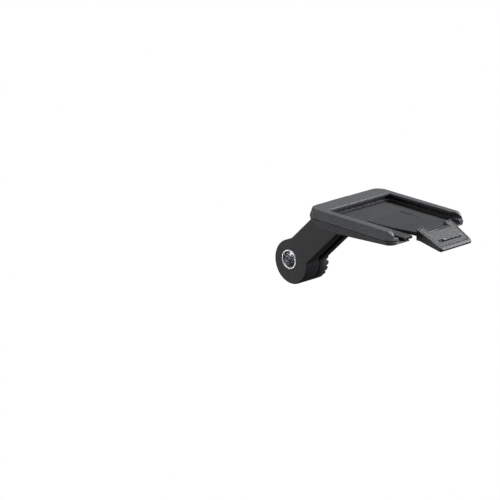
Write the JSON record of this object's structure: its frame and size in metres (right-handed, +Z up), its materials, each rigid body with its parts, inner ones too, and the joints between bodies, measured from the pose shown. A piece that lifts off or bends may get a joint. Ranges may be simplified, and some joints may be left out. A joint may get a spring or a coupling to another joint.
{
  "type": "cycling computer mount",
  "caption": "Out-front mount for a cycling computer: slide-in cradle with lipped rails and a spring latch tab, on a toothed pivoting arm.",
  "frame": {"origin": "centre of the pivot axis of the arm, in the middle of the stem bracket's gap", "axes": "+X forward, the way the computer slides out of the cradle; +Y along the pivot axis to the rider's left; +Z up, out of the cradle"},
  "size_m": [0.0738, 0.034, 0.0323],
  "materials": {
    "sleeve_steel": "turned",
    "arm_plastic": "fine matte",
    "cheek_plastic": "satin",
    "ring_plastic": "semi-gloss",
    "zinc_plated_steel": "zinc plated",
    "insert_brass": "machined",
    "black_oxide_steel": "black oxide",
    "shell_plastic": "fine texture",
    "cradle_textured_plastic": "fine texture",
    "floor_plastic": "fine texture",
    "latch_plastic": "fine texture",
    "thumb_plate_plastic": "fine texture",
    "ridge_plastic": "satin"
  },
  "bodies": {
    "pivot": {"pivot_sleeve": "sleeve_steel"},
    "arm": {"arm_body": "arm_plastic", "arm_cheek": "cheek_plastic", "tooth_ring": "ring_plastic", "cheek_screw_low": "zinc_plated_steel", "cheek_screw_high": "zinc_plated_steel", "dock_insert_right": "insert_brass", "dock_insert_left": "insert_brass", "dock_screw_right": "zinc_plated_steel", "dock_screw_left": "zinc_plated_steel", "base_shell": "shell_plastic", "cradle_frame": "cradle_textured_plastic", "floor_plate": "floor_plastic", "shell_screw_back_right": "black_oxide_steel", "shell_screw_back_left": "black_oxide_steel", "shell_screw_front_right": "black_oxide_steel", "shell_screw_front_left": "black_oxide_steel"},
    "latch": {"latch_tongue": "latch_plastic", "thumb_plate": "thumb_plate_plastic", "grip_ridge": "ridge_plastic"}
  },
  "joints": [
    {"name": "arm_tilt", "type": "hinge", "parent": "pivot", "child": "arm", "pos_m": [0, 0, 0], "axis": [0, 1, 0], "range_deg": [-30, 30]},
    {"name": "latch_flex", "type": "hinge", "parent": "arm", "child": "latch", "pos_m": [0.0364, 0, 0.02205], "axis": [0, 1, 0], "range_deg": [0, 7], "stiffness_Nm_per_rad": 1.2}
  ]
}
